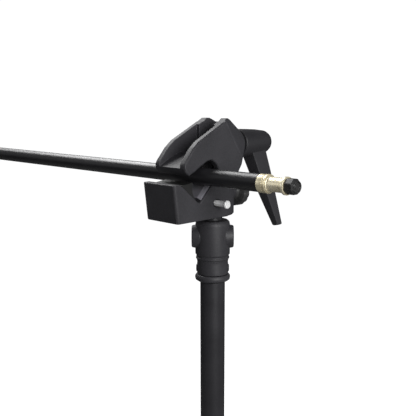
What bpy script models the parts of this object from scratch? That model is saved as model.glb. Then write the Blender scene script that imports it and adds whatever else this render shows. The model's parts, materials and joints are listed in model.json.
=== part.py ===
"""Light stand of the C-stand kind with a super clamp head that grips a spigot boom.

The origin is on the floor under the column, +Z is up, the boom runs along X with its
brass spigot at +X, and the clamp's block faces -Y. Lengths are written in millimetres
and turned into Blender's metres where an object is made.
"""

import math

import bmesh
import bpy
from mathutils import Matrix, Vector

MM = 0.001
GAP = 0.3

# Column: outer and inner radii of its tubes, and the heights of their ends.
HEAD_Z = 960.0
BASE_TUBE = dict(outer=17.5, inner=15.4, bottom=75.0, top=400.0)
LOWER_RISER = dict(outer=15.0, inner=12.9, bottom=150.0, top=600.0)
UPPER_RISER = dict(outer=12.5, inner=11.0, bottom=350.0, top=HEAD_Z - 45.0)
COLLAR_HEIGHT = 40.0
COLLAR_RADIUS = 22.5

# Legs: one level and one direction each, all of the same tube.
LEGS = (("low", 107.0, 180.0), ("mid", 141.0, 300.0), ("top", 175.0, 60.0))
LEG_RADIUS = 12.5
LEG_REACH = 375.0
LEG_START = 26.5
LEG_COLLAR_HEIGHT = 32.0
FOOT_RADIUS = 15.5
FOOT_HEIGHT = 15.0
FOOT_LENGTH = 46.0

# Head: heights are above the underside of the clamp's block.
STUD_RADIUS = 8.0
BLOCK_HALF_WIDTH = 21.75
BACK_RADIUS = 20.9
BLOCK_TOP = 36.0
REAR_TOP = 31.0
SOCKET_TURN = math.radians(44.5)
PIVOT = (2.0, 40.6)
PIVOT_PIN_RADIUS = 3.0
SCREW_HEIGHT = 67.8
SCREW_RADIUS = 4.0
JAW_OPENING = math.radians(22.0)
NUT_Y = PIVOT[0] + (SCREW_HEIGHT - PIVOT[1]) * math.tan(JAW_OPENING / 2)
HUB_Y = 33.5
HUB_END_Y = 79.0
HUB_RADIUS = 14.6
TONGUE_HALF_WIDTH = 8.0
SLOT_HALF_WIDTH = 9.5
LEVER_TURN = math.radians(12.0)
KNOB_HEIGHT = 21.0
PLUNGER = (-16.8, 14.6)

# Boom: its axis stands this far in front of the column and above the block's underside.
BOOM_Y = -33.0
BOOM_Z = 41.2
BOOM_RADIUS = 8.0
BOOM_INNER = 6.6
BOOM_START_X = -420.0
BOOM_END_X = 89.9

# Outlines in the Y-Z plane.
BLOCK_OUTLINE = (
    (-67.2, 0.0), (-71.6, BLOCK_TOP), (-63.5, BLOCK_TOP), (-41.2, 17.4),
    (-38.2, 17.4), (-21.2, 35.0), (-17.5, 35.0), (-13.0, REAR_TOP), (0.0, REAR_TOP), (0.0, 0.0),
)
TONGUE_OUTLINE = (
    (-8.5, 26.0), (-8.5, 60.0), (-5.5, 74.0), (0.0, 79.0),
    (9.0, 79.0), (12.5, 75.0), (12.5, 26.0),
)
JAW_OUTLINE = (
    (-51.8, 42.4), (-56.0, 46.8), (-57.6, 51.6), (-55.9, 55.2), (-46.5, 66.6), (-38.0, 73.6),
    (-4.5, 90.3), (-1.0, 91.0), (21.5, 54.5), (20.5, 48.5), (15.5, 41.0), (8.0, 35.5), (-6.0, 35.5),
    (-11.0, 44.0), (-15.5, 52.0), (-21.5, 55.8), (-27.5, 55.0), (-36.0, 51.0), (-44.5, 45.8),
)
CHANNEL_OUTLINE = (
    (-80.0, 42.0), (-58.5, 49.2), (-45.0, 56.4), (-30.0, 62.5), (-19.0, 62.5),
    (-19.0, 30.0), (-9.0, 30.0), (-9.0, 120.0), (-80.0, 120.0),
)
SLOT_OUTLINE = ((-19.0, 30.0), (-19.0, 120.0), (14.0, 120.0), (14.0, 51.0), (40.0, 51.0), (40.0, 30.0))
WEDGE_OUTLINE = (
    (-59.0, 32.64), (-58.2, 34.9), (-46.0, 36.6), (-45.0, 35.6),
    (-45.0, 26.5), (-42.9, 20.6), (-43.55, 19.82),
)

BLACK = (0.022, 0.022, 0.024, 1.0)
STEEL = (0.62, 0.62, 0.63, 1.0)
BRASS = (0.72, 0.56, 0.25, 1.0)
FINISHES = {
    "black_coat": (BLACK, 0.55, 0.3),
    "black_plastic": ((0.016, 0.016, 0.017, 1.0), 0.6, 0.0),
    "rubber": ((0.03, 0.03, 0.03, 1.0), 0.85, 0.0),
    "steel": (STEEL, 0.25, 1.0),
    "brass": (BRASS, 0.3, 1.0),
}


def clear_scene():
    for old in list(bpy.data.objects):
        bpy.data.objects.remove(old, do_unlink=True)


def new_collection(name):
    collection = bpy.data.collections.new(name)
    bpy.context.scene.collection.children.link(collection)
    return collection


def head(x, y, z):
    """A place in the head, in metres, from millimetres above the block's underside."""
    return Vector((x, y, z + HEAD_Z)) * MM


def new_object(name, data):
    obj = bpy.data.objects.new(name, data)
    PARTS.objects.link(obj)
    return obj


def material_for(name, finish):
    colour, roughness, metallic = FINISHES[finish]
    material = bpy.data.materials.new(name)
    material.use_nodes = True
    shader = material.node_tree.nodes["Principled BSDF"]
    shader.inputs["Base Color"].default_value = colour
    shader.inputs["Roughness"].default_value = roughness
    shader.inputs["Metallic"].default_value = metallic
    return material


def finish(obj, look):
    """Gives a finished sub-part its material and smooth shading."""
    obj.data.materials.clear()
    obj.data.materials.append(material_for(obj.name, look))
    obj.data.shade_smooth()
    obj.data.set_sharp_from_angle(angle=math.radians(35))
    return obj


def bevel(obj, width, segments=1):
    modifier = obj.modifiers.new("Bevel", "BEVEL")
    modifier.width = width * MM
    modifier.segments = segments
    modifier.limit_method = "ANGLE"
    modifier.angle_limit = math.radians(28)
    return obj


def boolean(target, tool, operation):
    """Cuts the tool from the target or joins it, and puts the tool out of the way."""
    modifier = target.modifiers.new(tool.name, "BOOLEAN")
    modifier.operation = operation
    modifier.solver = "EXACT"
    modifier.object = tool
    if tool.name in PARTS.objects:
        PARTS.objects.unlink(tool)
        CUTTERS.objects.link(tool)
    tool.hide_render = True
    tool.display_type = "WIRE"
    return target


def cut(target, *tools):
    for tool in tools:
        boolean(target, tool, "DIFFERENCE")
    return target


def join(target, *tools):
    for tool in tools:
        boolean(target, tool, "UNION")
    return target


def rod(name, start, end, radius, end_radius=None, sides=20):
    """A round bar between two points in metres, with its origin midway on its axis."""
    shape = bmesh.new()
    along = end - start
    last = radius if end_radius is None else end_radius
    bmesh.ops.create_cone(
        shape, cap_ends=True, segments=sides, radius1=radius * MM, radius2=last * MM, depth=along.length
    )
    mesh = bpy.data.meshes.new(name)
    shape.to_mesh(mesh)
    shape.free()
    obj = new_object(name, mesh)
    obj.location = (start + end) / 2
    obj.rotation_euler = along.to_track_quat("Z", "Y").to_euler()
    return obj


def box(name, centre, size):
    """A box with its sizes in millimetres."""
    shape = bmesh.new()
    bmesh.ops.create_cube(shape, size=1.0)
    bmesh.ops.scale(shape, vec=Vector(size) * MM, verts=shape.verts)
    mesh = bpy.data.meshes.new(name)
    shape.to_mesh(mesh)
    shape.free()
    obj = new_object(name, mesh)
    obj.location = centre
    return obj


def turned(name, profile, place, axis=(0, 0, 1), steps=20, bored=False):
    """A turned piece: (radius, height) points from top to bottom, spun round the axis through place.

    A bored profile is a closed ring of points: down the outside and up the bore.
    """
    mesh = bpy.data.meshes.new(name)
    edges = [(i, i + 1) for i in range(len(profile) - 1)]
    if bored:
        edges.append((len(profile) - 1, 0))
    mesh.from_pydata([(radius * MM, 0.0, height * MM) for radius, height in profile], edges, [])
    obj = new_object(name, mesh)
    obj.location = place
    obj.rotation_euler = Vector(axis).to_track_quat("Z", "Y").to_euler()
    screw = obj.modifiers.new("Screw", "SCREW")
    screw.steps = steps
    screw.render_steps = steps
    screw.use_merge_vertices = True
    screw.merge_threshold = 0.00001
    return obj


def slab(name, outline, half_width, pivot=(0.0, 0.0)):
    """A plate with an outline in the Y-Z plane and a thickness across X, with its origin at the pivot."""
    curve = bpy.data.curves.new(name, "CURVE")
    curve.dimensions = "2D"
    curve.fill_mode = "BOTH"
    curve.extrude = half_width * MM
    spline = curve.splines.new("POLY")
    spline.points.add(len(outline) - 1)
    for point, (y, z) in zip(spline.points, outline):
        point.co = ((y - pivot[0]) * MM, (z - pivot[1]) * MM, 0.0, 1.0)
    spline.use_cyclic_u = True
    guide = bpy.data.objects.new(name, curve)
    PARTS.objects.link(guide)
    across = Matrix(((0, 0, 1, 0), (1, 0, 0, 0), (0, 1, 0, 0), (0, 0, 0, 1)))
    guide.matrix_world = Matrix.Translation(head(0, pivot[0], pivot[1])) @ across
    return as_mesh(guide)


def as_mesh(guide):
    """Turns a curve object into a mesh object in the same place, with its caps welded."""
    name = guide.name
    bpy.context.view_layer.update()
    mesh = bpy.data.meshes.new_from_object(guide.evaluated_get(bpy.context.evaluated_depsgraph_get()))
    shape = bmesh.new()
    shape.from_mesh(mesh)
    bmesh.ops.remove_doubles(shape, verts=shape.verts, dist=0.000001)
    bmesh.ops.dissolve_limit(shape, angle_limit=math.radians(1), verts=shape.verts, edges=shape.edges)
    bmesh.ops.recalc_face_normals(shape, faces=shape.faces)
    shape.to_mesh(mesh)
    shape.free()
    place = guide.matrix_world.copy()
    bpy.data.objects.remove(guide, do_unlink=True)
    obj = new_object(name, mesh)
    obj.matrix_world = place
    return obj


def tube(name, size):
    """A vertical tube of the column."""
    outer, inner, bottom, top = size["outer"], size["inner"], size["bottom"], size["top"]
    chamfer = 0.6
    profile = (
        (outer - chamfer, top), (outer, top - chamfer), (outer, bottom + chamfer),
        (outer - chamfer, bottom), (inner, bottom), (inner, top),
    )
    return turned(name, profile, Vector((0, 0, 0)), steps=28, bored=True)


def direction(degrees):
    return Vector((math.cos(math.radians(degrees)), math.sin(math.radians(degrees)), 0.0))


def rounded_path(corners, reach, steps=4):
    """Points along a path whose corners are rounded by curves that begin at reach from each."""
    points = [corners[0]]
    for before, corner, after in zip(corners, corners[1:], corners[2:]):
        first = corner + (before - corner).normalized() * reach
        last = corner + (after - corner).normalized() * reach
        for step in range(steps + 1):
            t = step / steps
            points.append(first * (1 - t) ** 2 + corner * 2 * t * (1 - t) + last * t**2)
    points.append(corners[-1])
    return points


def leg_path(level, azimuth):
    """The centre line of one leg, in metres, from its collar down to the floor and out."""
    side = (
        (LEG_START, level), (88.0, level), (190.0, 44.0), (LEG_REACH - 1.7 * FOOT_LENGTH, FOOT_HEIGHT),
        (LEG_REACH - 2.0, FOOT_HEIGHT),
    )
    out = direction(azimuth)
    return [(out * reach + Vector((0, 0, height))) * MM for reach, height in side]


def make_leg(name, level, azimuth):
    """One leg: a collar that turns on the base tube, a bent tube and a foot sleeve."""
    out = direction(azimuth)
    half = LEG_COLLAR_HEIGHT / 2
    bore = BASE_TUBE["outer"] + GAP
    ring = ((24.0, half), (25.5, half - 1.5), (25.5, -half), (bore, -half), (bore, half))
    centre = Vector((0, 0, level * MM))
    collar = turned(f"leg_collar_{name}", ring, centre, bored=True)
    stub = rod(f"stub_{name}", centre + out * 20.5 * MM, centre + out * 52 * MM, 15.2, sides=20)
    join(collar, stub)
    socket_start = centre + out * (LEG_START - 0.5) * MM
    socket = rod(f"stub_bore_{name}", socket_start, centre + out * 60 * MM, LEG_RADIUS + GAP, sides=20)
    cut(collar, socket)
    finish(collar, "black_coat")

    curve = bpy.data.curves.new(f"leg_tube_{name}", "CURVE")
    curve.dimensions = "3D"
    curve.bevel_depth = LEG_RADIUS * MM
    curve.bevel_resolution = 3
    curve.use_fill_caps = True
    points = rounded_path(leg_path(level, azimuth), 0.030)
    spline = curve.splines.new("POLY")
    spline.points.add(len(points) - 1)
    for point, place in zip(spline.points, points):
        point.co = (*place, 1.0)
    finish(as_mesh(new_object(f"leg_tube_{name}", curve)), "black_coat")

    foot_centre = Vector((0, 0, FOOT_HEIGHT * MM))
    foot_start, foot_end = (LEG_REACH - FOOT_LENGTH + 14) * MM, (LEG_REACH + 3) * MM
    foot = rod(f"leg_foot_{name}", foot_centre + out * foot_start, foot_centre + out * foot_end, FOOT_RADIUS)
    bevel(foot, 1.5)
    bore_end = foot_centre + out * (LEG_REACH - 1.5) * MM
    bore_start = foot_centre + out * (foot_start - 10 * MM)
    bore = rod(f"foot_bore_{name}", bore_start, bore_end, LEG_RADIUS + GAP, sides=16)
    under_floor = box(f"foot_sole_{name}", out * LEG_REACH * MM - Vector((0, 0, 0.010)), (120.0, 120.0, 20.0))
    cut(foot, bore, under_floor)
    finish(foot, "rubber")


def make_base():
    """The base tube with its bottom plug and the ring that keeps the leg collars on it."""
    finish(tube("base_tube", BASE_TUBE), "black_coat")
    plug_top = BASE_TUBE["bottom"] + 16.0
    bore = BASE_TUBE["inner"] - GAP
    flange_top = BASE_TUBE["bottom"] - GAP
    plug = (
        (0.0, plug_top), (bore - 1, plug_top), (bore, plug_top - 1), (bore, flange_top), (24.0, flange_top),
        (24.0, flange_top - 7), (22.5, flange_top - 9), (0.0, flange_top - 9),
    )
    finish(turned("base_plug", plug, Vector((0, 0, 0))), "black_plastic")
    inside = BASE_TUBE["outer"] + GAP
    for name, low in (("base_seat_ring", 79.0), ("base_stop_ring", 193.0)):
        ring = ((22.0, low + 9), (23.5, low + 7.5), (23.5, low), (inside, low), (inside, low + 9))
        finish(turned(name, ring, Vector((0, 0, 0)), bored=True), "black_coat")
    for leg in LEGS:
        make_leg(*leg)


def make_collar(name, lower_tube, upper_tube):
    """The clamping collar on a tube's top end, with its bush, its screw and its T-knob."""
    top = lower_tube["top"] + 8.0
    bottom = top - COLLAR_HEIGHT
    seat = lower_tube["outer"] + GAP
    throat = upper_tube["outer"] + GAP
    shoulder = lower_tube["top"] + GAP
    shape = (
        (throat + 3.5, top), (COLLAR_RADIUS - 1.5, top - 4), (COLLAR_RADIUS, top - 6),
        (COLLAR_RADIUS, bottom + 5), (seat + 2.5, bottom), (seat, bottom), (seat, shoulder),
        (throat, shoulder), (throat, top),
    )
    collar = turned(f"{name}_collar", shape, Vector((0, 0, 0)), steps=24, bored=True)
    level = Vector((0, 0, (bottom + 18) * MM))
    out = Vector((0.0, -1.0, 0.0))
    boss = rod(f"{name}_boss", level + out * 19 * MM, level + out * 32 * MM, 9.0, 8.2, sides=16)
    join(collar, boss)
    hole = rod(f"{name}_hole", level + out * 11 * MM, level + out * 40 * MM, 4.0 + GAP, sides=12)
    cut(collar, hole)
    finish(collar, "black_coat")
    window = rod(f"{name}_window", level + out * 10 * MM, level + out * 20 * MM, 4.0 + GAP, sides=12)
    cut(bpy.data.objects[f"{name}_tube"], window)
    screw_tip = upper_tube["outer"] + GAP
    screw = rod(f"{name}_screw", level + out * screw_tip * MM, level + out * 40 * MM, 4.0, sides=12)
    finish(screw, "steel")
    knob = turned(
        f"{name}_knob",
        (
            (0.0, 58.0), (8.0, 58.0), (9.0, 56.5), (8.0, 45.0), (6.5, 42.0), (9.5, 39.0), (10.0, 34.0),
            (9.0, 32.8), (0.0, 32.8),
        ),
        level, axis=out, steps=16,
    )
    bar_level = level + out * 51.3 * MM
    reach = Vector((29 * MM, 0, 0))
    bar = rod(f"{name}_bar", bar_level - reach, bar_level + reach, 6.0, sides=12)
    bevel(bar, 1.5)
    join(knob, bar)
    bore = rod(f"{name}_knob_bore", level + out * 30 * MM, level + out * 40.3 * MM, 4.0 + GAP, sides=12)
    cut(knob, bore)
    finish(knob, "black_plastic")


def make_column():
    """The two telescoping risers and the collars that clamp them."""
    for name, size in (("riser_lower_tube", LOWER_RISER), ("riser_upper_tube", UPPER_RISER)):
        finish(tube(name, size), "black_coat")
    make_collar("base", BASE_TUBE, LOWER_RISER)
    make_collar("riser_lower", LOWER_RISER, UPPER_RISER)
    for name, outer_tube, inner_tube in (
        ("riser_lower_bush", BASE_TUBE, LOWER_RISER),
        ("riser_upper_bush", LOWER_RISER, UPPER_RISER),
    ):
        low = inner_tube["bottom"] - 12
        high = inner_tube["bottom"] - GAP
        edge = outer_tube["inner"] - GAP
        inside = inner_tube["inner"] - GAP
        bush = (
            (inside, high + 14), (inside, high), (edge, high), (edge, low + 1), (edge - 1, low),
            (inside - 2, low), (inside - 2, high + 14),
        )
        finish(turned(name, bush, Vector((0, 0, 0)), bored=True), "black_plastic")


def make_socket():
    """The receiver on the top riser, its flared ring and its four screws."""
    bore = STUD_RADIUS + GAP
    throat = UPPER_RISER["outer"] + GAP
    shape = (
        (15.0, -6.2), (16.8, -8.0), (17.3, -11.0), (17.3, -40.0), (16.6, -41.0), (16.1, -41.6),
        (16.1, -42.8), (16.7, -43.4), (16.7, -44.8), (15.8, -45.6), (15.8, -46.8), (15.4, -47.6),
        (15.6, -50.0), (15.6, -60.0), (15.0, -60.6), (throat, -60.6), (throat, -44.4), (bore, -44.4),
        (bore, -6.2),
    )
    socket = turned("socket_body", shape, head(0, 0, 0), steps=32, bored=True)
    side = Vector((math.cos(SOCKET_TURN), math.sin(SOCKET_TURN), 0.0))
    boss_level = head(0, 0, -22.9)
    screw_level = head(0, 0, -55.0)
    sides = (("right", side), ("left", -side))
    for label, way in sides:
        boss_start, boss_end = boss_level + way * 12 * MM, boss_level + way * 20.9 * MM
        boss = rod(f"socket_boss_{label}", boss_start, boss_end, 12.6, 11.0, sides=24)
        bevel(boss, 0.8)
        join(socket, boss)
    across = side * 40 * MM
    screw_bore = rod("socket_screw_bore", boss_level - across, boss_level + across, 4.0 + GAP, sides=12)
    pin_bore = rod("socket_pin_bore", screw_level - across, screw_level + across, 3.8 + GAP, sides=14)
    cut(socket, screw_bore, pin_bore)
    for label, way in sides:
        floor, mouth = boss_level + way * 18.4 * MM, boss_level + way * 24 * MM
        cut(socket, rod(f"socket_recess_{label}", floor, mouth, 7.0, sides=16))
    finish(socket, "black_coat")

    for label, way in sides:
        grub = turned(
            f"stud_screw_{label}",
            (
                (0.0, 20.3), (2.4, 20.3), (2.4, 20.6), (6.0, 20.6), (6.6, 20.0), (6.6, 18.8), (4.0, 18.8),
                (4.0, 8.6), (0.0, 8.6),
            ),
            boss_level, axis=way, steps=16,
        )
        finish(grub, "black_coat")
        pin = turned(
            f"riser_screw_{label}",
            ((0.0, 16.5), (2.9, 16.5), (3.8, 15.9), (3.8, 12.9), (0.0, 12.9)),
            screw_level, axis=way, steps=16,
        )
        finish(pin, "black_coat")
    inside = UPPER_RISER["outer"] + GAP
    ring = (
        (16.2, -60.9), (17.4, -62.4), (17.7, -64.2), (17.2, -66.2), (15.2, -67.6),
        (inside, -67.6), (inside, -60.9),
    )
    finish(turned("socket_ring", ring, head(0, 0, 0), steps=32, bored=True), "black_coat")

    stud = (
        (0.0, 28.6), (7.0, 28.6), (8.0, 27.6), (8.0, 24.4), (6.6, 23.0), (6.6, 15.0), (8.0, 13.6),
        (8.0, -0.5), (9.6, -0.7), (9.6, -5.8), (8.0, -6.0), (8.0, -42.8), (7.2, -43.6), (0.0, -43.6),
    )
    finish(turned("clamp_stud", stud, head(0, 0, 0), steps=24), "black_coat")


def make_clamp_body():
    """The cast block with its V, its round back, and the tongue that carries the jaw."""
    body = bevel(round_front(slab("clamp_body", BLOCK_OUTLINE, BLOCK_HALF_WIDTH), 2.6), 0.9)
    back = rod("clamp_back", head(0, 0, 0), head(0, 0, REAR_TOP), BACK_RADIUS, sides=36)
    bevel(back, 1.4)
    tongue = bevel(slab("clamp_tongue", TONGUE_OUTLINE, TONGUE_HALF_WIDTH), 0.8)
    boss_start, boss_end = head(0, 12, KNOB_HEIGHT), head(0, 24.6, KNOB_HEIGHT)
    knob_boss = rod("clamp_knob_boss", boss_start, boss_end, 11.0, 9.5, sides=24)
    join(body, back, tongue, knob_boss)
    stud_bore = rod("clamp_stud_bore", head(0, 0, -10), head(0, 0, 29.0), STUD_RADIUS + GAP, sides=24)
    screw_room = SCREW_RADIUS + GAP
    bore_start, bore_end = head(0, 4, KNOB_HEIGHT), head(0, 30, KNOB_HEIGHT)
    knob_bore = rod("clamp_knob_bore", bore_start, bore_end, screw_room, sides=20)
    y, z = PLUNGER
    plunger_bore = rod("clamp_plunger_bore", head(-1, y, z), head(30, y, z), 3.8 + GAP, sides=24)
    pin_room = PIVOT_PIN_RADIUS + GAP
    pivot_bore = rod("clamp_pivot_bore", head(-20, *PIVOT), head(20, *PIVOT), pin_room, sides=24)
    nut_place = (NUT_Y, SCREW_HEIGHT)
    nut_bore = rod("clamp_nut_bore", head(-20, *nut_place), head(20, *nut_place), 6.5, sides=20)
    passage = slab("clamp_screw_slot", screw_slot_outline(), SCREW_RADIUS + 0.6)
    cut(body, stud_bore, knob_bore, plunger_bore, pivot_bore, nut_bore, passage)
    finish(body, "black_coat")


def round_front(obj, width):
    """Rounds the two upright corners between a slab's front face and its sides."""
    shape = bmesh.new()
    shape.from_mesh(obj.data)
    front = min(vertex.co.x for vertex in shape.verts) + 6.0 * MM
    corners = []
    for edge in shape.edges:
        first, second = (vertex.co for vertex in edge.verts)
        if max(first.x, second.x) < front and abs(first.z - second.z) < MM:
            corners.append(edge)
    bmesh.ops.bevel(shape, geom=corners, offset=width * MM, segments=3, profile=0.5, affect="EDGES")
    shape.to_mesh(obj.data)
    shape.free()
    return obj


def screw_slot_outline():
    """The fan that the screw sweeps through the tongue as the jaw opens."""
    reach = 26.0
    rise = SCREW_RADIUS + 1.2
    drop = reach * math.sin(JAW_OPENING) + rise
    front, back = NUT_Y - reach, NUT_Y + reach
    return (
        (front, SCREW_HEIGHT - rise), (NUT_Y, SCREW_HEIGHT - rise), (back, SCREW_HEIGHT - drop),
        (back, SCREW_HEIGHT + rise), (NUT_Y, SCREW_HEIGHT + rise), (front, SCREW_HEIGHT + drop),
    )


def jaw_narrowing(height):
    """How much of its full width the jaw keeps at this height."""
    return 1.0 - 0.08 * max(0.0, (height - 50.0) / 42.0)


def narrow(obj):
    """Leans a jaw slab's two sides together towards the top. Its local Z is the world's X."""
    for vertex in obj.data.vertices:
        vertex.co.z *= jaw_narrowing(vertex.co.y / MM + PIVOT[1])


def make_jaw():
    """The moving jaw: two plates, a web over the arch, and a back that tapers into the lever's boss."""
    half = 20.7
    jaw = slab("upper_jaw", JAW_OUTLINE, half, PIVOT)
    narrow(jaw)
    bevel(jaw, 1.2)

    hull = bmesh.new()
    crease = ((-3.6, 90.0), (-1.6, 90.4), (20.8, 54.2), (19.8, 49.0), (15.0, 42.0), (0.0, 60.0))
    shoulder = ((1.5, 94.0, 16.4), (5.0, 94.0, 15.4), (9.0, 92.4, 14.4), (14.0, 89.6, 13.0))
    corners = [(half * jaw_narrowing(z) - 0.3, y, z) for y, z in crease]
    corners += [(half_width, y, z) for y, z, half_width in shoulder]
    for half_width, y, z in corners:
        for way in (-1, 1):
            hull.verts.new(head(way * half_width, y, z))
    ring_points = 28
    for step in range(ring_points):
        angle = 2 * math.pi * step / ring_points
        across = math.cos(angle) * HUB_RADIUS
        up = math.sin(angle) * HUB_RADIUS
        hull.verts.new(head(across, HUB_Y - 2.2, SCREW_HEIGHT + up))
    bmesh.ops.convex_hull(hull, input=hull.verts)
    bmesh.ops.recalc_face_normals(hull, faces=hull.faces)
    mesh = bpy.data.meshes.new("jaw_back")
    hull.to_mesh(mesh)
    hull.free()
    join(jaw, new_object("jaw_back", mesh))

    channel = slab("jaw_channel", CHANNEL_OUTLINE, 14.2, PIVOT)
    narrow(channel)
    slot = slab("jaw_slot", SLOT_OUTLINE, SLOT_HALF_WIDTH, PIVOT)
    pin_room, screw_room = PIVOT_PIN_RADIUS + GAP, SCREW_RADIUS + 0.6
    pivot_bore = rod("jaw_pivot_bore", head(-30, *PIVOT), head(30, *PIVOT), pin_room, sides=24)
    bore_start, bore_end = head(0, 8, SCREW_HEIGHT), head(0, 50, SCREW_HEIGHT)
    screw_bore = rod("jaw_screw_bore", bore_start, bore_end, screw_room, sides=24)
    top, bottom = (-1.6, 92.0), (22.1, 53.5)
    grooves = [
        rod(
            f"jaw_groove_{number}",
            head(way * half * jaw_narrowing(top[1]), *top),
            head(way * half * jaw_narrowing(bottom[1]), *bottom), 1.0, sides=8,
        )
        for number, way in enumerate((-1, 1))
    ]
    cut(jaw, channel, slot, pivot_bore, screw_bore, *grooves)
    finish(jaw, "black_coat")

    reach, edge = half - GAP, PIVOT_PIN_RADIUS
    pin = turned(
        "pivot_pin",
        (
            (0.0, reach), (edge - 0.5, reach), (edge, reach - 0.5), (edge, 0.5 - reach),
            (edge - 0.5, -reach), (0.0, -reach),
        ),
        head(0, *PIVOT), axis=(1, 0, 0), steps=16,
    )
    finish(pin, "black_coat")

    nut_reach = TONGUE_HALF_WIDTH + 0.8
    nut_start, nut_end = head(-nut_reach, NUT_Y, SCREW_HEIGHT), head(nut_reach, NUT_Y, SCREW_HEIGHT)
    nut = rod("trunnion_nut", nut_start, nut_end, 6.2, sides=20)
    thread_start, thread_end = head(0, -20, SCREW_HEIGHT), head(0, 40, SCREW_HEIGHT)
    cut(nut, rod("nut_bore", thread_start, thread_end, SCREW_RADIUS + 0.9, sides=24))
    finish(nut, "steel")


def ridge_pad(name, first, last, half_width):
    """A pad along a line in the Y-Z plane whose crown is narrower across X than its seat."""
    seat, crown, chamfer = 2.0, 3.9, 2.8
    start, end = Vector(first), Vector(last)
    along = (end - start).normalized()
    left = Vector((-along.y, along.x))
    section = (
        (-half_width, 0.0), (half_width, 0.0), (half_width, seat), (half_width - chamfer, crown),
        (chamfer - half_width, crown), (-half_width, seat),
    )
    shape = bmesh.new()
    ends = []
    for station in (start, end):
        ring = []
        for x, lift in section:
            place = station + left * (GAP + lift)
            ring.append(shape.verts.new(head(x, place.x, place.y)))
        ends.append(ring)
    shape.faces.new(ends[0])
    shape.faces.new(ends[1])
    for index in range(len(section)):
        after = (index + 1) % len(section)
        shape.faces.new((ends[0][index], ends[0][after], ends[1][after], ends[1][index]))
    bmesh.ops.recalc_face_normals(shape, faces=shape.faces)
    mesh = bpy.data.meshes.new(name)
    shape.to_mesh(mesh)
    shape.free()
    return new_object(name, mesh)


def strip_outline(first, last, thickness, lift):
    """A strip of this thickness that lies along a line, lifted off it, on the line's left side."""
    start, end = Vector(first), Vector(last)
    along = (end - start).normalized()
    left = Vector((-along.y, along.x))
    low_start, low_end = start + left * lift, end + left * lift
    up = left * thickness
    return [tuple(point) for point in (low_start, low_end, low_end + up, low_start + up)]


def make_pads():
    """The grip pads on the V's back arm and under the jaw's arch, and the insert on the V's front arm."""
    back_arm = ridge_pad("jaw_pad_lower", (-36.9, 18.75), (-22.2, 33.97), BLOCK_HALF_WIDTH - 0.8)
    finish(bevel(back_arm, 0.3), "rubber")
    arch = strip_outline((-29.5, 54.05), (-44.0, 46.1), 1.0, GAP)
    finish(bevel(slab("jaw_pad_upper", arch, 18.0, PIVOT), 0.5), "rubber")
    finish(bevel(slab("jaw_wedge", WEDGE_OUTLINE, 18.5), 0.5), "black_plastic")


def make_lever():
    """The tension lever: screw, thrust washer, hub with its bar, and the hub's end screw."""
    centre = head(0, 0, SCREW_HEIGHT)
    screw = turned(
        "tension_screw",
        ((0.0, 66.0), (3.4, 66.0), (4.0, 65.4), (4.0, -7.4), (3.2, -8.2), (0.0, -8.2)),
        centre, axis=(0, 1, 0), steps=20,
    )
    finish(screw, "steel")
    rim = HUB_RADIUS - 2.8
    washer = ((rim, 34.3), (rim + 0.5, 33.8), (rim + 0.5, 32.2), (rim, 31.7), (4.4, 31.7), (4.4, 34.3))
    finish(turned("thrust_washer", washer, centre, axis=(0, 1, 0), steps=24, bored=True), "black_coat")
    hub = turned(
        "tension_lever",
        (
            (0.0, HUB_END_Y), (7.4, HUB_END_Y), (10.2, HUB_END_Y - 1.2), (11.8, HUB_END_Y - 4.4),
            (13.3, 62.0), (14.2, 46.0), (HUB_RADIUS, 37.0), (HUB_RADIUS, 35.5), (HUB_RADIUS - 0.9, 34.6),
            (0.0, 34.6),
        ),
        centre, axis=(0, 1, 0), steps=28,
    )
    bar = lever_bar(centre)
    join(hub, bar)
    bore_start, bore_end = head(0, 20, SCREW_HEIGHT), head(0, 66.4, SCREW_HEIGHT)
    bore = rod("hub_bore", bore_start, bore_end, SCREW_RADIUS + GAP, sides=20)
    recess = rod("hub_recess", head(0, 75.0, SCREW_HEIGHT), head(0, 90, SCREW_HEIGHT), 4.6, sides=24)
    cut(hub, bore, recess)
    finish(hub, "black_coat")
    cap = ((0.0, 78.4), (3.0, 78.4), (4.1, 77.4), (4.1, 75.4), (0.0, 75.4))
    finish(turned("lever_end_screw", cap, centre, axis=(0, 1, 0), steps=20), "steel")


def lever_bar(centre):
    """The hanging bar: a box that tapers and leans outwards, turned round the screw's axis."""
    top_y, tip_y, drop = 57.0, 79.2, 89.4
    levels = ((-2.0, top_y, 8.2, 11.4), (-31.0, top_y + 7.0, 7.2, 9.6), (-drop, tip_y, 3.9, 4.0))
    shape = bmesh.new()
    bmesh.ops.create_cube(shape, size=2.0)
    upright = [edge for edge in shape.edges if abs(edge.verts[0].co.z - edge.verts[1].co.z) > 1.0]
    bmesh.ops.subdivide_edges(shape, edges=upright, cuts=1)
    turn = Matrix.Rotation(-LEVER_TURN, 4, "Y")
    for vertex in shape.verts:
        down, y, half_x, half_y = levels[1 - round(vertex.co.z)]
        place = Vector((vertex.co.x * half_x, y + vertex.co.y * half_y, down)) * MM
        vertex.co = turn @ place
    mesh = bpy.data.meshes.new("lever_bar")
    shape.to_mesh(mesh)
    shape.free()
    bar = new_object("lever_bar", mesh)
    bar.location = centre
    return bevel(bar, 1.5, segments=2)


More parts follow.
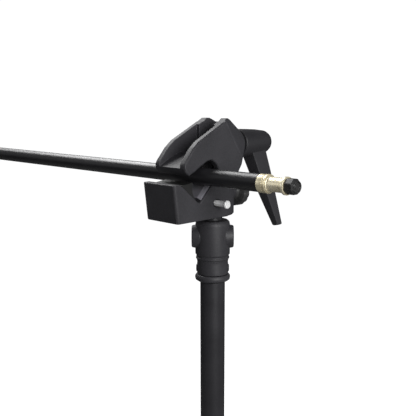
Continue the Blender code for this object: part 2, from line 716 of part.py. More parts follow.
def make_locks():
    """The stud's lock knob with its screw, and the spring plunger."""
    centre = head(0, 0, KNOB_HEIGHT)
    lobes = 15
    knob = turned(
        "lock_knob",
        (
            (0.0, 39.0), (13.0, 39.0), (15.6, 37.8), (16.4, 35.4), (16.4, 31.6), (15.2, 29.6), (10.0, 28.6),
            (8.6, 25.0), (0.0, 25.0),
        ),
        centre, axis=(0, 1, 0), steps=32,
    )
    for lobe in range(lobes):
        angle = 2 * math.pi * (lobe + 0.5) / lobes
        x, z = 17.3 * math.cos(angle), KNOB_HEIGHT + 17.3 * math.sin(angle)
        cut(knob, rod(f"lobe_{lobe}", head(x, 20, z), head(x, 46, z), 1.6, sides=8))
    bore_start, bore_end = head(0, 20, KNOB_HEIGHT), head(0, 35.0, KNOB_HEIGHT)
    cut(knob, rod("lock_knob_bore", bore_start, bore_end, SCREW_RADIUS + GAP, sides=20))
    finish(knob, "black_plastic")
    screw_start, screw_end = head(0, 8.6, KNOB_HEIGHT), head(0, 34.6, KNOB_HEIGHT)
    finish(rod("lock_screw", screw_start, screw_end, SCREW_RADIUS, sides=20), "steel")

    y, z = PLUNGER
    plunger = turned(
        "plunger_pin",
        (
            (0.0, 36.4), (3.3, 36.4), (3.9, 35.8), (3.9, 34.2), (2.9, 33.2), (2.9, 16.6), (3.8, 16.0),
            (3.8, 13.6), (3.0, 12.8), (0.0, 12.8),
        ),
        head(0, y, z), axis=(1, 0, 0), steps=20,
    )
    finish(plunger, "steel")
    turns, coil = 4, 2.7
    points = []
    samples = 10
    for step in range(turns * samples + 1):
        angle = 2 * math.pi * step / samples
        along = 4.8 + 7.4 * step / (turns * samples)
        points.append(head(along, y + coil * math.cos(angle), z + coil * math.sin(angle)))
    curve = bpy.data.curves.new("plunger_spring", "CURVE")
    curve.dimensions = "3D"
    curve.bevel_depth = 0.45 * MM
    curve.bevel_resolution = 1
    curve.use_fill_caps = True
    spline = curve.splines.new("POLY")
    spline.points.add(len(points) - 1)
    for point, place in zip(spline.points, points):
        point.co = (*place, 1.0)
    finish(as_mesh(new_object("plunger_spring", curve)), "steel")


def make_boom():
    """The boom tube with its end plug, its brass spigot, the spigot's ring and its screw cap."""
    def at(x):
        return head(x, BOOM_Y, BOOM_Z)

    along = (1, 0, 0)
    start, end = BOOM_START_X, BOOM_END_X
    shape = (
        (BOOM_RADIUS - 0.4, end), (BOOM_RADIUS, end - 0.4), (BOOM_RADIUS, start + 0.4),
        (BOOM_RADIUS - 0.4, start), (BOOM_INNER, start), (BOOM_INNER, end),
    )
    finish(turned("boom_tube", shape, at(0), axis=along, steps=28, bored=True), "black_coat")
    inside = BOOM_INNER - GAP
    plug = (
        (0.0, start + 20), (inside, start + 20), (inside, start - GAP), (BOOM_RADIUS + 0.4, start - GAP),
        (BOOM_RADIUS + 0.4, start - 3), (BOOM_RADIUS - 1, start - 5), (0.0, start - 5),
    )
    finish(turned("boom_end_plug", plug, at(0), axis=along, steps=20), "black_plastic")

    shoulder = end + GAP
    spigot = (
        (0.0, 126.8), (4.2, 126.8), (4.7, 126.3), (4.7, 119.2), (7.4, 119.2), (7.9, 118.7),
        (7.9, 117.0), (7.4, 116.5), (6.4, 116.2), (6.4, 101.4), (6.8, 100.6), (7.5, 100.2), (7.5, 96.8),
        (8.2, 96.0), (8.2, shoulder + 0.4), (7.8, shoulder), (inside, shoulder), (inside, 60.0), (0.0, 60.0),
    )
    finish(turned("spigot", spigot, at(0), axis=along, steps=28), "brass")
    ring = ((8.0, 100.0), (8.4, 99.6), (8.4, 97.6), (8.1, 97.1), (7.8, 97.1), (7.8, 100.0))
    finish(turned("spigot_ring", ring, at(0), axis=along, steps=28, bored=True), "brass")
    cap_profile = (
        (0.0, 129.4), (4.9, 129.4), (6.4, 128.4), (7.0, 127.0), (7.0, 120.0), (6.6, 119.5), (5.1, 119.5),
        (5.1, 127.4), (0.0, 127.4),
    )
    finish(turned("spigot_cap", cap_profile, at(0), axis=along, steps=8), "black_plastic")


clear_scene()
PARTS = new_collection("c_stand")
CUTTERS = new_collection("cutters")
make_base()
make_column()
make_socket()
make_clamp_body()
make_jaw()
make_pads()
make_lever()
make_locks()
make_boom()
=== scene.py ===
"""Looks for the light stand: materials, rounded shading, studio and camera."""

import json
import math

import bmesh
import bpy
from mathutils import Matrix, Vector


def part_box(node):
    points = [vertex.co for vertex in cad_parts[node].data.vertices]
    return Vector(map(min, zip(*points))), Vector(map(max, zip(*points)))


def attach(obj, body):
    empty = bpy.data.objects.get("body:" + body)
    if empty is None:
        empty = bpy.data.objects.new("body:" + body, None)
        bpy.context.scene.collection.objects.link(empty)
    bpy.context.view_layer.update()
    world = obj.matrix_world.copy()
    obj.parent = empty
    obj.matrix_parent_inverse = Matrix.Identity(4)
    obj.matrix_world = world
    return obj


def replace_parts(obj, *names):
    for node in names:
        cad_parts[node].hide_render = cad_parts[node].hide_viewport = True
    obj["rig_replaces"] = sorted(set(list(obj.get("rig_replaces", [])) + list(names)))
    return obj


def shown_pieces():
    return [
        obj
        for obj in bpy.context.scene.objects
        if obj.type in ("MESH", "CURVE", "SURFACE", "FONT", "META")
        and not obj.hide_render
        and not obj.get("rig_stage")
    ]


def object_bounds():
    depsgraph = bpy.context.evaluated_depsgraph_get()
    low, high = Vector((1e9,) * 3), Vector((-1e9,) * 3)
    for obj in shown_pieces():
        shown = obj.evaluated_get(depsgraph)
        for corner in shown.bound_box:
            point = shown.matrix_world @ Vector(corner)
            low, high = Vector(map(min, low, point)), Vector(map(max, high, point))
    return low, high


MM = 0.001
SMOOTH_ANGLE = math.radians(38)
WELD_DISTANCE = 0.00001

# The CAD nodes that the sparkle and glint lights are kept to.
BRIGHT_NODES = ("spigot", "spigot_ring", "plunger_pin")
GLINT_NODES = ("plunger_pin", "spigot_cap")

# The screws' thread, in millimetres. It fades out over its last turns and starts on a small lead.
THREAD_PITCH = 2.0
THREAD_DEPTH = 0.65
THREAD_FADE_TURNS = 2.0
LEAD_DEPTH = 0.7
LEAD_LENGTH = 0.9
ROWS_PER_TURN = 8

# Segments round the turned pieces.
SCREW_SEGMENTS = 32
FOOT_SEGMENTS = 64
SPIGOT_SEGMENTS = 72
CAP_SEGMENTS = 96
KNOB_SEGMENTS = 144
CAP_FLATS = 8
KNOB_FLUTES = 15

# A foot sleeve, in millimetres: where it ends, from the column, and its length, radius and bore.
FOOT_END = 378.0
FOOT_LENGTH = 34.0
FOOT_RADIUS = 15.5
FOOT_BORE = 12.8
FOOT_GROOVES = 5
FOOT_GROOVE_PITCH = 4.4

# The camera's lens in millimetres, its heading and dip, and its place in metres.
LENS = 59.7
AZIMUTH = math.radians(44.6)
DROP = math.radians(9.18)
CAMERA_PLACE = (0.4707, -0.4839, 1.0746)

# The floor's half width and its drop under the feet, in metres.
FLOOR_HALF = 12.0
FLOOR_DROP = 0.0002

# How bright the floor and the backdrop are to the camera, and what they send to the stand.
FLOOR_GREY = 0.90
FLOOR_GLOW = 0.95
FLOOR_BOUNCE = 0.22
BACKDROP_STRENGTH = 1.05
FILL_STRENGTH = 0.10
FILL_COLOUR = (0.93, 0.95, 1.0, 1.0)

WHITE = (1.0, 1.0, 1.0, 1.0)
COOL = (1.0, 0.975, 1.10)


# ---------------------------------------------------------------- node helpers

class Nodes:
    """A short way to write a node tree."""

    def __init__(self, tree):
        self.tree = tree

    def add(self, kind, **settings):
        node = self.tree.nodes.new(kind)
        for key, value in settings.items():
            setattr(node, key, value)
        return node

    def link(self, source, target):
        self.tree.links.new(source, target)

    def fill(self, socket, value):
        if isinstance(value, bpy.types.NodeSocket):
            self.link(value, socket)
        else:
            socket.default_value = value

    def maths(self, operation, first, second, clamp=False):
        node = self.add("ShaderNodeMath", operation=operation, use_clamp=clamp)
        self.fill(node.inputs[0], first)
        self.fill(node.inputs[1], second)
        return node.outputs[0]

    def noise(self, vector, scale, detail, roughness=0.55):
        node = self.add("ShaderNodeTexNoise")
        self.link(vector, node.inputs["Vector"])
        node.inputs["Scale"].default_value = scale
        node.inputs["Detail"].default_value = detail
        node.inputs["Roughness"].default_value = roughness
        return node.outputs["Fac"]

    def cells(self, vector, scale, smoothness):
        node = self.add("ShaderNodeTexVoronoi", feature="SMOOTH_F1")
        self.link(vector, node.inputs["Vector"])
        node.inputs["Scale"].default_value = scale
        node.inputs["Smoothness"].default_value = smoothness
        return node.outputs["Distance"]

    def ranged(self, value, low, high, out_low=0.0, out_high=1.0):
        node = self.add("ShaderNodeMapRange")
        self.fill(node.inputs["Value"], value)
        node.inputs["From Min"].default_value = low
        node.inputs["From Max"].default_value = high
        node.inputs["To Min"].default_value = out_low
        node.inputs["To Max"].default_value = out_high
        return node.outputs["Result"]

    def mix(self, factor, first, second):
        node = self.add("ShaderNodeMix", data_type="RGBA")
        self.fill(node.inputs["Factor"], factor)
        self.fill(node.inputs["A"], first)
        self.fill(node.inputs["B"], second)
        return node.outputs["Result"]

    def place(self, stretch=(1.0, 1.0, 1.0)):
        coordinates = self.add("ShaderNodeTexCoord")
        mapping = self.add("ShaderNodeMapping")
        mapping.inputs["Scale"].default_value = stretch
        self.link(coordinates.outputs["Object"], mapping.inputs["Vector"])
        return mapping.outputs["Vector"]

    def bump(self, height, distance, normal):
        node = self.add("ShaderNodeBump")
        node.inputs["Strength"].default_value = 1.0
        node.inputs["Distance"].default_value = distance
        self.link(height, node.inputs["Height"])
        self.link(normal, node.inputs["Normal"])
        return node.outputs["Normal"]

    def rounded(self, radius):
        node = self.add("ShaderNodeBevel", samples=6)
        node.inputs["Radius"].default_value = radius
        return node.outputs["Normal"]

    def edges(self, radius):
        """1 on a convex or concave edge, fading to 0 away from it."""
        soft = self.rounded(radius)
        geometry = self.add("ShaderNodeNewGeometry")
        dot = self.add("ShaderNodeVectorMath", operation="DOT_PRODUCT")
        self.link(soft, dot.inputs[0])
        self.link(geometry.outputs["Normal"], dot.inputs[1])
        return self.ranged(dot.outputs["Value"], 0.985, 0.90)


def new_material(name, metallic=0.0, specular=0.5):
    material = bpy.data.materials.new(name)
    material.use_nodes = True
    nodes = Nodes(material.node_tree)
    shader = material.node_tree.nodes["Principled BSDF"]
    shader.inputs["Metallic"].default_value = metallic
    shader.inputs["Specular IOR Level"].default_value = specular
    return material, nodes, shader


def grey(value, tint=(1.0, 1.0, 1.0)):
    return (value * tint[0], value * tint[1], value * tint[2], 1.0)


def coated(name, base, roughness, grain, height, edge_radius, wear_and_highlight):
    """Black powder coat: orange-peel grain, faint mottling, and edges rubbed smooth and painted
    lighter grey, partly wear and partly a painted edge highlight.
    """
    material, nodes, shader = new_material(name)
    place = nodes.place()
    cloud = nodes.noise(place, 28.0, 5.0)
    peel = nodes.noise(place, grain, 3.0, 0.6)
    pits = nodes.cells(place, grain * 1.7, 0.6)
    dark = grey(base * 0.78, COOL)
    light = grey(base * 1.25, COOL)
    colour = nodes.mix(nodes.ranged(cloud, 0.3, 0.7), dark, light)
    speck = nodes.ranged(peel, 0.35, 0.75)
    colour = nodes.mix(nodes.maths("MULTIPLY", speck, 0.5), colour, grey(base * 1.9, COOL))
    # Convex and concave edges are painted lighter grey: partly wear, partly a painted edge
    # highlight.
    edge_wear_and_highlight = nodes.maths("MULTIPLY", nodes.edges(edge_radius), nodes.ranged(cloud, 0.35, 0.65))
    colour = nodes.mix(nodes.maths("MULTIPLY", edge_wear_and_highlight, wear_and_highlight), colour, grey(0.16, COOL))
    nodes.link(colour, shader.inputs["Base Color"])
    varied = nodes.ranged(cloud, 0.25, 0.75, roughness - 0.05, roughness + 0.06)
    rubbed = nodes.maths("MULTIPLY", edge_wear_and_highlight, -0.12)
    nodes.link(nodes.maths("ADD", varied, rubbed, clamp=True), shader.inputs["Roughness"])
    relief = nodes.maths("ADD", peel, nodes.maths("MULTIPLY", pits, 0.6))
    nodes.link(nodes.bump(relief, height, nodes.rounded(edge_radius)), shader.inputs["Normal"])
    return material


def moulded(name, base, roughness, edge_radius=0.0006, height=0.00005):
    """Black moulded plastic with a fine spark-eroded stipple."""
    material, nodes, shader = new_material(name)
    place = nodes.place()
    stipple = nodes.noise(place, 2600.0, 2.0, 0.5)
    cloud = nodes.noise(place, 45.0, 4.0)
    colour = nodes.mix(nodes.ranged(cloud, 0.3, 0.7), grey(base * 0.8), grey(base * 1.3))
    # Convex and concave edges are painted a little lighter grey: a painted edge highlight.
    colour = nodes.mix(nodes.maths("MULTIPLY", nodes.edges(edge_radius), 0.25), colour, grey(0.09))
    nodes.link(colour, shader.inputs["Base Color"])
    varied = nodes.ranged(cloud, 0.3, 0.7, roughness - 0.07, roughness + 0.07)
    nodes.link(varied, shader.inputs["Roughness"])
    nodes.link(nodes.bump(stipple, height, nodes.rounded(edge_radius)), shader.inputs["Normal"])
    return material


def rubber(name, low, high):
    """Matt rubber with a cloudy bloom and a fine grain, between two greys."""
    material, nodes, shader = new_material(name, specular=0.3)
    place = nodes.place()
    cloud = nodes.noise(place, 70.0, 6.0)
    fine = nodes.noise(place, 1800.0, 3.0)
    colour = nodes.mix(nodes.ranged(cloud, 0.35, 0.7), grey(low, COOL), grey(high, COOL))
    nodes.link(colour, shader.inputs["Base Color"])
    nodes.link(nodes.ranged(cloud, 0.3, 0.7, 0.72, 0.92), shader.inputs["Roughness"])
    nodes.link(nodes.bump(fine, 0.00012, nodes.rounded(0.0006)), shader.inputs["Normal"])
    return material


def steel(name, stretch, metallic=1.0, roughness=0.28, low=0.55, high=0.78):
    """Plated steel with fine turning lines; stretch squeezes the noise along the piece's axis."""
    material, nodes, shader = new_material(name, metallic=metallic)
    lines = nodes.noise(nodes.place(stretch), 1.0, 6.0, 0.7)
    cloud = nodes.noise(nodes.place(), 120.0, 4.0)
    colour = nodes.mix(nodes.ranged(cloud, 0.3, 0.7), grey(low), grey(high))
    nodes.link(colour, shader.inputs["Base Color"])
    varied = nodes.ranged(lines, 0.3, 0.7, roughness - 0.10, roughness + 0.10)
    nodes.link(varied, shader.inputs["Roughness"])
    nodes.link(nodes.bump(lines, 0.000005, nodes.rounded(0.0003)), shader.inputs["Normal"])
    return material


def brass(name):
    """Pale machined brass: fine turning lines round the X axis and a little tarnish."""
    material, nodes, shader = new_material(name, metallic=0.5)
    lines = nodes.noise(nodes.place((2600.0, 8.0, 8.0)), 1.0, 5.0, 0.65)
    bands = nodes.noise(nodes.place((320.0, 3.0, 3.0)), 1.0, 3.0)
    cloud = nodes.noise(nodes.place(), 160.0, 5.0)
    clean = (0.86, 0.76, 0.50, 1.0)
    pale = (0.95, 0.88, 0.68, 1.0)
    dull = (0.62, 0.52, 0.28, 1.0)
    colour = nodes.mix(nodes.ranged(bands, 0.35, 0.65), clean, pale)
    colour = nodes.mix(nodes.ranged(cloud, 0.55, 0.80, 0.0, 0.3), colour, dull)
    nodes.link(colour, shader.inputs["Base Color"])
    nodes.link(nodes.ranged(lines, 0.3, 0.7, 0.34, 0.50), shader.inputs["Roughness"])
    nodes.link(nodes.bump(lines, 0.000002, nodes.rounded(0.00025)), shader.inputs["Normal"])
    return material


# ---------------------------------------------------------------- new pieces

def body_of(node):
    """The body that a CAD node belongs to."""
    for name, nodes in frame["record"]["behaviour"]["bodies"].items():
        if node in nodes:
            return name
    raise ValueError(node)


def piece_from(name, node, material, points, faces, turn, place):
    """A finished mesh that stands for a CAD node and moves with its body."""
    mesh = bpy.data.meshes.new(name)
    mesh.from_pydata([tuple(turn @ Vector(point) * MM + place) for point in points], [], faces)
    shape = bmesh.new()
    shape.from_mesh(mesh)
    bmesh.ops.recalc_face_normals(shape, faces=shape.faces)
    shape.to_mesh(mesh)
    shape.free()
    mesh.materials.append(material)
    mesh.polygons.foreach_set("use_smooth", [True] * len(mesh.polygons))
    mesh.set_sharp_from_angle(angle=SMOOTH_ANGLE)
    piece = bpy.data.objects.new(name, mesh)
    bpy.context.scene.collection.objects.link(piece)
    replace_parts(piece, node)
    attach(piece, body_of(node))
    return piece


def lathe(rings, segments, radius_at=None):
    """Points and faces of a solid turned round Z from (radius, height) rings.

    A zero radius closes an end.
    """
    points, faces, starts = [], [], []
    for radius, height in rings:
        starts.append(len(points))
        if radius == 0.0:
            points.append((0.0, 0.0, height))
            continue
        for step in range(segments):
            angle = 2 * math.pi * step / segments
            reach = radius if radius_at is None else radius_at(radius, height, angle)
            points.append((reach * math.cos(angle), reach * math.sin(angle), height))
    for index in range(len(rings) - 1):
        first, second = starts[index], starts[index + 1]
        for step in range(segments):
            after = (step + 1) % segments
            corners = [first + step, first + after, second + after, second + step]
            if rings[index][0] == 0.0:
                corners = [first, second + after, second + step]
            elif rings[index + 1][0] == 0.0:
                corners = [first + step, first + after, second]
            faces.append(corners)
    return points, faces


def turn_to(axis):
    """The rotation that takes a lathe's Z to this axis."""
    return Vector(axis).to_track_quat("Z", "Y").to_matrix()


def centre_of(node):
    low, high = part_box(node)
    return (low + high) / 2


def threaded_bar(name, node, axis, material, plain):
    """A screw with a helical thread in place of a plain bar, smooth over its last plain mm."""
    low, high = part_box(node)
    span = high - low
    length = abs(span.dot(Vector(axis))) / MM
    outer = (sum(span) - length * MM) / 4 / MM
    rows = int(length / THREAD_PITCH * ROWS_PER_TURN)
    fade = THREAD_FADE_TURNS * THREAD_PITCH

    def radius_at(radius, height, angle):
        run = height + length / 2
        phase = (run / THREAD_PITCH - angle / (2 * math.pi)) % 1.0
        groove = 1.0 - abs(2 * phase - 1)
        to_plain = length - plain - run
        ease = min(1.0, max(0.0, to_plain / fade))
        lead = LEAD_DEPTH * max(0.0, 1.0 - run / LEAD_LENGTH)
        return radius - THREAD_DEPTH * groove * ease - lead

    rings = [(0.0, -length / 2)]
    rings += [(outer, -length / 2 + length * row / rows) for row in range(rows + 1)]
    rings.append((0.0, length / 2))
    points, faces = lathe(rings, SCREW_SEGMENTS, radius_at)
    piece_from(
        name, node, material, points, faces, turn_to(axis), centre_of(node)
    )


def arc(centre, radius, first, last, steps):
    """Points of a rounded corner, in degrees from the radial direction."""
    middle, height = centre
    made = []
    for step in range(steps + 1):
        angle = math.radians(first + (last - first) * step / steps)
        made.append((middle + radius * math.cos(angle), height + radius * math.sin(angle)))
    return made


def make_spigot(material):
    """The brass spigot: a banded collar, a waisted neck, a flange and a grooved end in the cap.

    The rings run back from the tip, in millimetres.
    """
    _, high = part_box("spigot")
    place = centre_of("spigot")
    tip = (high.x - place.x) / MM
    band, flange, neck, stem, inside = 8.2, 7.9, 6.4, 4.7, 6.3
    grooves, groove_pitch, groove_depth = 9, 0.8, 0.45
    rings = [(0.0, tip), (stem - 0.6, tip)]
    for groove in range(grooves):
        start = tip - 0.5 - groove * groove_pitch
        rings += [(stem, start), (stem - groove_depth, start - groove_pitch / 2)]
    rings += [(stem, tip - 7.6), (flange - 0.5, tip - 7.6)]
    rings += arc((flange - 0.4, tip - 8.0), 0.4, 90, 0, 4)
    rings += arc((flange - 0.4, tip - 9.8), 0.4, 0, -90, 4)
    rings += arc((neck + 0.9, tip - 11.5), 0.9, 90, 180, 5)
    rings += [(neck, tip - 16.0), (neck, tip - 24.7)]
    rings += arc((neck + 0.8, tip - 25.4), 0.8, 180, 270, 5)
    rings += arc((7.2, tip - 26.5), 0.3, 90, 0, 4)
    rings += [(7.5, tip - 30.3)]
    rings += arc((band - 0.3, tip - 30.8), 0.3, 90, 0, 3)
    rings += [(band, tip - 36.3), (band - 0.4, tip - 36.6), (inside, tip - 36.6)]
    rings += [(inside, tip - 66.3), (inside - 0.5, tip - 66.8), (0.0, tip - 66.8)]
    points, faces = lathe(rings, SPIGOT_SEGMENTS)
    turn = turn_to((1, 0, 0))
    piece_from("spigot_turned", "spigot", material, points, faces, turn, place)


def make_cap(material):
    """The spigot's black cap: eight rounded flats, a bevelled rim and a dished end with a ring."""
    low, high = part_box("spigot_cap")
    axis_place = centre_of("spigot")
    place = Vector(((low.x + high.x) / 2, axis_place.y, axis_place.z))
    half = (high.x - low.x) / 2 / MM
    round_inside, flat_share = 5.4, 0.945

    def radius_at(radius, height, angle):
        if radius < round_inside:
            return radius
        step = 2 * math.pi / CAP_FLATS
        off = (angle + step / 2) % step - step / 2
        return radius * (flat_share / max(flat_share, math.cos(off)))

    rings = [(4.95, -half + 7.8), (4.95, -half), (5.6, -half), (6.3, -half + 0.1)]
    rings += arc((6.55, -half + 0.55), 0.45, -70, 0, 4)
    rings += [(7.0, half - 3.0)]
    rings += arc((6.1, half - 2.6), 0.9, 0, 45, 4)
    rings += [(6.0, half - 1.1), (5.5, half - 0.45)]
    rings += arc((4.9, half - 0.5), 0.5, 60, 120, 4)
    rings += [(4.3, half - 0.5), (4.1, half - 1.5), (2.6, half - 1.5)]
    rings += [(2.4, half - 0.9), (0.0, half - 0.9)]
    points, faces = lathe([(0.0, -half + 7.8)] + rings, CAP_SEGMENTS, radius_at)
    piece_from(
        "spigot_cap_moulded", "spigot_cap", material, points, faces,
        turn_to((1, 0, 0)), place,
    )


def make_knob(material):
    """The clamp's round lock knob: a fluted rim, ring steps and a dished face."""
    low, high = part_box("lock_knob")
    place = centre_of("lock_knob")
    half = (high.y - low.y) / 2 / MM
    round_inside, flute_foot, flute_depth, flute_sharpness = 12.0, 11.0, 0.13, 0.55

    def radius_at(radius, height, angle):
        if radius < round_inside:
            return radius
        wave = 0.5 + 0.5 * math.cos(KNOB_FLUTES * angle + math.pi * KNOB_FLUTES / 2)
        return radius - (radius - flute_foot) * flute_depth * (1.0 - wave**flute_sharpness)

    rings = [(0.0, -half), (8.0, -half), (8.6, -half + 0.6), (9.0, -half + 2.6)]
    rings += [(9.8, -half + 3.5), (12.6, -half + 4.0), (14.6, -half + 4.5)]
    rings += arc((14.9, -half + 6.2), 1.5, -60, 0, 5)
    rings += [(16.4, half - 4.6)]
    rings += arc((14.0, half - 3.2), 2.4, 0, 72, 7)
    rings += [(13.2, half - 0.6), (11.6, half - 0.35), (11.0, half - 0.8), (10.2, half - 0.9)]
    rings += [(9.7, half - 0.4), (8.6, half - 0.1), (5.2, half)]
    rings += [(4.6, half - 0.5), (0.0, half - 0.5)]
    points, faces = lathe(rings, KNOB_SEGMENTS, radius_at)
    piece_from(
        "lock_knob_moulded", "lock_knob", material, points, faces,
        turn_to((0, 1, 0)), place,
    )


def make_foot(node, material):
    """A rubber foot sleeve with grooves round it, a rolled lip and a flat sole."""
    low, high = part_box(node)
    column = centre_of("riser_lower_tube")
    middle = (low + high) / 2
    out = Vector((middle.x - column.x, middle.y - column.y, 0.0)).normalized()
    end, start, radius = FOOT_END, FOOT_END - FOOT_LENGTH, FOOT_RADIUS
    rings = [(0.0, end - 4.8), (FOOT_BORE, end - 4.8), (FOOT_BORE, start)]
    rings += arc((radius - 1.3, start + 1.2), 1.2, -90, 60, 5)
    rings += [(radius - 0.9, start + 3.0)]
    for groove in range(FOOT_GROOVES):
        at = start + 6.0 + groove * FOOT_GROOVE_PITCH
        rings += [(radius - 0.2, at), (radius, at + 0.3)]
        rings += [(radius, at + 2.3), (radius - 0.2, at + 2.6)]
        rings += [(radius - 0.9, at + 3.0), (radius - 0.9, at + 3.8)]
    rings += [(radius, end - 5.2)]
    rings += arc((radius - 2.4, end - 2.4), 2.4, 0, 90, 6)
    rings += [(9.0, end), (8.4, end - 0.6), (0.0, end - 0.6)]
    points, faces = lathe(rings, FOOT_SEGMENTS)
    place = Vector((column.x, column.y, high.z - radius * MM))
    piece = piece_from(
        node + "_moulded", node, material, points, faces, turn_to(out), place
    )
    for vertex in piece.data.vertices:
        vertex.co.z = max(vertex.co.z, low.z)


def make_pieces(looks):
    """The detailed pieces that stand for ten CAD nodes."""
    make_spigot(looks["brass"])
    make_cap(looks["cap"])
    make_knob(looks["knob"])
    for name in ("low", "mid", "top"):
        make_foot(f"leg_foot_{name}", looks["rubber"])
    threaded_bar("tension_screw_cut", "tension_screw", (0, 1, 0), looks["steel_y"], plain=22.0)
    threaded_bar("lock_screw_cut", "lock_screw", (0, 1, 0), looks["steel_y"], plain=2.0)
    threaded_bar("base_screw_cut", "base_screw", (0, -1, 0), looks["steel_y"], plain=2.0)
    threaded_bar("riser_screw_cut", "riser_lower_screw", (0, -1, 0), looks["steel_y"], plain=2.0)


# ---------------------------------------------------------------- CAD nodes

def dress(node, material):
    """Gives a CAD node its material and rounded shading."""
    obj = frame["nodes"][node]
    obj.data.materials.clear()
    obj.data.materials.append(material)
    normals = obj.data.attributes.get("custom_normal")
    if normals:
        obj.data.attributes.remove(normals)
    obj.data.polygons.foreach_set("use_smooth", [True] * len(obj.data.polygons))
    weld = obj.modifiers.new("Weld", "WELD")
    weld.merge_threshold = WELD_DISTANCE
    split = obj.modifiers.new("Split", "EDGE_SPLIT")
    split.split_angle = SMOOTH_ANGLE
    split.use_edge_sharp = False
    weighted = obj.modifiers.new("Weighted", "WEIGHTED_NORMAL")
    weighted.mode = "FACE_AREA"
    weighted.keep_sharp = True


def make_looks():
    """Every material, by the name that dress_all and make_pieces use."""
    return {
        "cast": coated("cast_coat", 0.036, 0.58, 900.0, 0.00008, 0.0013, 0.40),
        "tube": coated("tube_coat", 0.026, 0.36, 1500.0, 0.00004, 0.0006, 0.3),
        "boom": coated("boom_coat", 0.018, 0.37, 1500.0, 0.00001, 0.0006, 0.3),
        "socket": coated("socket_coat", 0.036, 0.50, 900.0, 0.00004, 0.0008, 0.35),
        # The lever's coat is a darker black than the cast: partly its own colour, partly painted
        # shade for the jaw's shadow on its left face.
        "lever": coated("lever_coat", 0.025, 0.50, 900.0, 0.00007, 0.0006, 0.20),
        "plastic": moulded("plastic", 0.022, 0.42),
        "cap": moulded("cap_plastic", 0.020, 0.50, 0.0004, 0.00001),
        "knob": moulded("knob_plastic", 0.045, 0.42),
        "rubber": rubber("rubber", 0.018, 0.040),
        # The jaw pad's rubber is a light grey: partly its own colour, partly painted light for the
        # light from the right falling into the V-groove.
        "pad": rubber("pad_rubber", 0.16, 0.22),
        "steel_x": steel("steel_across", (2400.0, 20.0, 20.0)),
        "steel_y": steel("steel_along", (20.0, 2400.0, 20.0)),
        # The pin's steel is near white with little metal: a painted reflection standing in for the
        # bright glint on its head and stem.
        "pin": steel("steel_pin", (2400.0, 20.0, 20.0), 0.15, 0.34, 0.92, 1.0),
        "wedge": moulded("wedge_plastic", 0.013, 0.5),
        "brass": brass("brass"),
    }


def dress_all(looks):
    """Gives each CAD node the look of its slot, or its own where the slot's look is too plain."""
    by_slot = {
        "cast_black_coat": "cast",
        "black_powder_coat": "tube",
        "black_plastic": "plastic",
        "black_rubber": "rubber",
        "bright_steel": "steel_y",
        "brass": "brass",
    }
    special = {
        "boom_tube": "boom",
        "tension_lever": "lever",
        "socket_body": "socket",
        "socket_ring": "socket",
        "jaw_pad_lower": "pad",
        "plunger_pin": "pin",
        "jaw_wedge": "wedge",
        # The thrust washer takes the darkest black: its own colour, and painted shade for the dark
        # gap round the lever's hub.
        "thrust_washer": "wedge",
        "plunger_spring": "steel_x",
        "trunnion_nut": "steel_x",
    }
    for part in frame["record"]["subparts"]:
        node = part["node"]
        dress(node, looks[special.get(node, by_slot[part["material_slot"]])])


# ---------------------------------------------------------------- studio

def make_floor():
    """A plain pale floor: white to the camera, darker in what it reflects onto the stand."""
    mesh = bpy.data.meshes.new("floor")
    half = FLOOR_HALF
    corners = [(-half, -half, 0), (half, -half, 0), (half, half, 0), (-half, half, 0)]
    mesh.from_pydata(corners, [], [(0, 1, 2, 3)])
    floor = bpy.data.objects.new("floor", mesh)
    bpy.context.scene.collection.objects.link(floor)
    low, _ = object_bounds()
    floor.location.z = low.z - FLOOR_DROP
    material = bpy.data.materials.new("floor")
    material.use_nodes = True
    nodes = Nodes(material.node_tree)
    material.node_tree.nodes.clear()
    path = nodes.add("ShaderNodeLightPath")
    seen = nodes.add("ShaderNodeBsdfDiffuse")
    seen.inputs["Color"].default_value = grey(FLOOR_GREY)
    glow = nodes.add("ShaderNodeEmission")
    glow.inputs["Color"].default_value = WHITE
    glow.inputs["Strength"].default_value = FLOOR_GLOW
    both = nodes.add("ShaderNodeAddShader")
    bounce = nodes.add("ShaderNodeBsdfDiffuse")
    bounce.inputs["Color"].default_value = grey(FLOOR_BOUNCE)
    choose = nodes.add("ShaderNodeMixShader")
    out = nodes.add("ShaderNodeOutputMaterial")
    nodes.link(seen.outputs[0], both.inputs[0])
    nodes.link(glow.outputs[0], both.inputs[1])
    nodes.link(path.outputs["Is Camera Ray"], choose.inputs[0])
    nodes.link(bounce.outputs[0], choose.inputs[1])
    nodes.link(both.outputs[0], choose.inputs[2])
    nodes.link(choose.outputs[0], out.inputs["Surface"])
    mesh.materials.append(material)
    floor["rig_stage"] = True


def make_world():
    """A white backdrop for the camera and a dim, slightly cool fill for everything else."""
    world = bpy.data.worlds.new("studio")
    bpy.context.scene.world = world
    world.use_nodes = True
    nodes = Nodes(world.node_tree)
    world.node_tree.nodes.clear()
    path = nodes.add("ShaderNodeLightPath")
    white = nodes.add("ShaderNodeBackground")
    white.inputs["Color"].default_value = WHITE
    white.inputs["Strength"].default_value = BACKDROP_STRENGTH
    dim = nodes.add("ShaderNodeBackground")
    dim.inputs["Color"].default_value = FILL_COLOUR
    dim.inputs["Strength"].default_value = FILL_STRENGTH
    choose = nodes.add("ShaderNodeMixShader")
    out = nodes.add("ShaderNodeOutputWorld")
    nodes.link(path.outputs["Is Camera Ray"], choose.inputs[0])
    nodes.link(dim.outputs[0], choose.inputs[1])
    nodes.link(white.outputs[0], choose.inputs[2])
    nodes.link(choose.outputs[0], out.inputs["Surface"])


def soft_light(name, place, aim, size, power):
    """A rectangular area light at a place in metres, turned towards aim."""
    data = bpy.data.lights.new(name, "AREA")
    data.shape = "RECTANGLE"
    data.size, data.size_y = size
    data.energy = power
    light = bpy.data.objects.new(name, data)
    bpy.context.scene.collection.objects.link(light)
    light.location = place
    light.rotation_euler = (Vector(aim) - Vector(place)).to_track_quat("-Z", "Y").to_euler()
    light.visible_camera = False
    return light


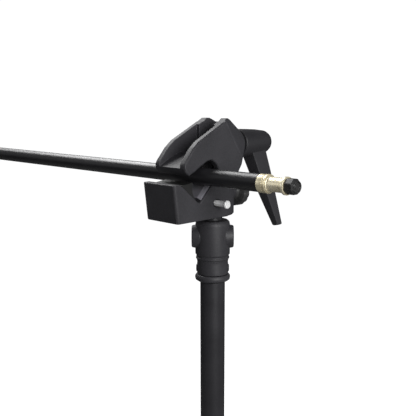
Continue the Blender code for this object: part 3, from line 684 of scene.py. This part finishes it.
def only_on(light, nodes):
    """Keeps a light to the pieces that stand for these CAD nodes."""
    lit = bpy.data.collections.new(light.name)
    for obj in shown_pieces():
        if obj.name in nodes or set(nodes) & set(obj.get("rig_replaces", [])):
            lit.objects.link(obj)
    light.light_linking.receiver_collection = lit


def make_lights():
    """Two large soft lights, two faint fills, and two small lights kept to a few pieces."""
    clamp = (0.0, 0.0, 1.0)
    soft_light("rim", (-1.5, 0.28, 2.4), clamp, (1.15, 1.1), 37.0)
    soft_light("right", (1.75, -0.50, 1.45), clamp, (1.0, 1.2), 29.0)
    soft_light("back", (1.5, 1.7, 0.95), clamp, (1.4, 1.2), 2.0)
    soft_light("card", (-1.10, -0.99, 1.40), clamp, (0.8, 0.6), 0.5)
    sparkle = soft_light("sparkle", (-1.10, -0.99, 1.30), clamp, (0.8, 0.8), 3.6)
    only_on(sparkle, BRIGHT_NODES)
    glint = soft_light("glint", (1.6, -0.62, 1.35), clamp, (0.8, 0.8), 11.0)
    only_on(glint, GLINT_NODES)


def make_camera():
    """The camera, at the photograph's viewing angle."""
    data = bpy.data.cameras.new("camera")
    data.sensor_width = 36.0
    data.lens = LENS
    data.clip_start = 0.01
    camera = bpy.data.objects.new("camera", data)
    bpy.context.scene.collection.objects.link(camera)
    camera.location = CAMERA_PLACE
    level = math.cos(DROP)
    look = Vector((-math.sin(AZIMUTH) * level, math.cos(AZIMUTH) * level, -math.sin(DROP)))
    camera.rotation_euler = look.to_track_quat("-Z", "Y").to_euler()
    bpy.context.scene.camera = camera


with open("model.json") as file:
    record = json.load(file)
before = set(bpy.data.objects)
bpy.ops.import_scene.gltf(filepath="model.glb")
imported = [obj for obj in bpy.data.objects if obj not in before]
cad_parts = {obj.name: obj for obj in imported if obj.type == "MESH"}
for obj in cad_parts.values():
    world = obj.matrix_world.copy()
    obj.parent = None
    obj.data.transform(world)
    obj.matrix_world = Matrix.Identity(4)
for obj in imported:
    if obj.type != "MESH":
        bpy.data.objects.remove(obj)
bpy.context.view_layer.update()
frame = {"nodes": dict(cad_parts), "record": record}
looks = make_looks()
dress_all(looks)
make_pieces(looks)
make_floor()
make_world()
make_lights()
make_camera()
bpy.context.scene.view_settings.view_transform = "Standard"
